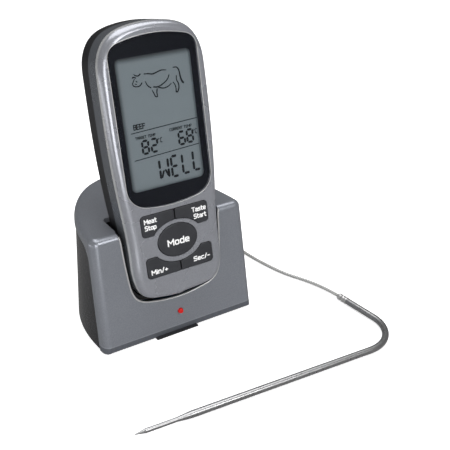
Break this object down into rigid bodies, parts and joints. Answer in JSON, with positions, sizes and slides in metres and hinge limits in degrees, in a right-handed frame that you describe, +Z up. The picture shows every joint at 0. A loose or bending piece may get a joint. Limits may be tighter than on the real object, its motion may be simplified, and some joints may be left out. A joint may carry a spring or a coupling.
{
  "type": "wireless meat thermometer",
  "caption": "Pocketed transmitter dock holding a lean-back handheld display receiver, with a bent stainless food probe on a braided cable coiled behind it.",
  "frame": {"origin": "on the table, under the middle of the dock, 38 mm behind the lower edge of its front plate", "axes": "+X to the display's right, +Y to the back, +Z up; the display faces -Y and leans back 11.1 degrees"},
  "size_m": [0.1513, 0.1808, 0.158],
  "materials": {
    "grey_metallic_shell": "silver-grey metallic paint, satin",
    "black_gloss_shell": "gloss",
    "black_satin_shell": "satin",
    "dark_pocket": "matt",
    "smoked_lens": "gloss, dark border",
    "lcd_glass": "grey-blue liquid crystal glass",
    "key_charcoal": "satin",
    "silicone": "matt",
    "red_lens": "clear red",
    "board": "solder mask",
    "chip": "moulded",
    "shield_can": "plain",
    "cell_jacket": "gloss",
    "contact": "nickel plated",
    "copper_wire": "plain",
    "screw_steel": "zinc plated",
    "stainless_rod": "polished stainless steel",
    "crimp": "bright",
    "steel_braid": "braided stainless wire",
    "plug_black": "gloss",
    "relief_black": "matt",
    "plug_gold": "polished"
  },
  "bodies": {
    "dock": {"dock_front_shell": "grey_metallic_shell", "dock_rear_body": "black_gloss_shell", "dock_bottom_cover": "black_satin_shell", "dock_pocket_liner": "dark_pocket", "indicator_light": "red_lens", "dock_batteries": "cell_jacket", "dock_battery_contacts": "contact", "dock_circuit_board": "board", "dock_radio_module": "shield_can", "dock_antenna": "copper_wire", "probe_jack": "plug_black", "power_switch_body": "plug_black", "dock_screws": "screw_steel", "plug_pin": "plug_gold", "plug_body": "plug_black", "plug_strain_relief": "relief_black", "cable_lead": "steel_braid", "cable_coil": "steel_braid", "cable_run": "steel_braid", "probe_ferrule": "crimp", "probe_tube": "stainless_rod", "probe_tip": "stainless_rod"},
    "receiver": {"receiver_front_shell": "grey_metallic_shell", "receiver_rear_cover": "black_satin_shell", "receiver_screws": "screw_steel", "display_lens": "smoked_lens", "display_panel": "lcd_glass", "display_holder": "dark_pocket", "display_connectors": "silicone", "receiver_circuit_board": "board", "receiver_processor": "chip", "receiver_radio_module": "shield_can", "receiver_antenna": "copper_wire", "buzzer": "chip", "keypad_mat": "silicone", "receiver_batteries": "cell_jacket", "receiver_battery_contacts": "contact"},
    "mode_key": {"mode_button": "key_charcoal"},
    "key_upper_left": {"key_upper_left": "key_charcoal"},
    "key_upper_right": {"key_upper_right": "key_charcoal"},
    "key_lower_left": {"key_lower_left": "key_charcoal"},
    "key_lower_right": {"key_lower_right": "key_charcoal"},
    "receiver_door": {"receiver_battery_door": "black_satin_shell"},
    "dock_door": {"dock_battery_door": "black_satin_shell"},
    "power_switch": {"power_switch_knob": "key_charcoal"}
  },
  "joints": [
    {"name": "receiver_lift", "type": "slide", "parent": "dock", "child": "receiver", "axis": [0, 0.1925, 0.9813], "range_m": [0, 0.045]},
    {"name": "mode_press", "type": "slide", "parent": "receiver", "child": "mode_key", "axis": [0, 0.9813, -0.1925], "range_m": [0, 0.0008], "stiffness_N_per_m": 400},
    {"name": "upper_left_press", "type": "slide", "parent": "receiver", "child": "key_upper_left", "axis": [0, 0.9813, -0.1925], "range_m": [0, 0.0008], "stiffness_N_per_m": 400},
    {"name": "upper_right_press", "type": "slide", "parent": "receiver", "child": "key_upper_right", "axis": [0, 0.9813, -0.1925], "range_m": [0, 0.0008], "stiffness_N_per_m": 400},
    {"name": "lower_left_press", "type": "slide", "parent": "receiver", "child": "key_lower_left", "axis": [0, 0.9813, -0.1925], "range_m": [0, 0.0008], "stiffness_N_per_m": 400},
    {"name": "lower_right_press", "type": "slide", "parent": "receiver", "child": "key_lower_right", "axis": [0, 0.9813, -0.1925], "range_m": [0, 0.0008], "stiffness_N_per_m": 400},
    {"name": "receiver_door_open", "type": "hinge", "parent": "receiver", "child": "receiver_door", "pos_m": [0, -0.00495, 0.08431], "axis": [-1, 0, 0], "range_deg": [0, 75]},
    {"name": "dock_door_slide", "type": "slide", "parent": "dock", "child": "dock_door", "axis": [0, -1, 0], "range_m": [0, 0.004]},
    {"name": "power_switch_slide", "type": "slide", "parent": "dock", "child": "power_switch", "axis": [1, 0, 0], "range_m": [0, 0.003]}
  ]
}
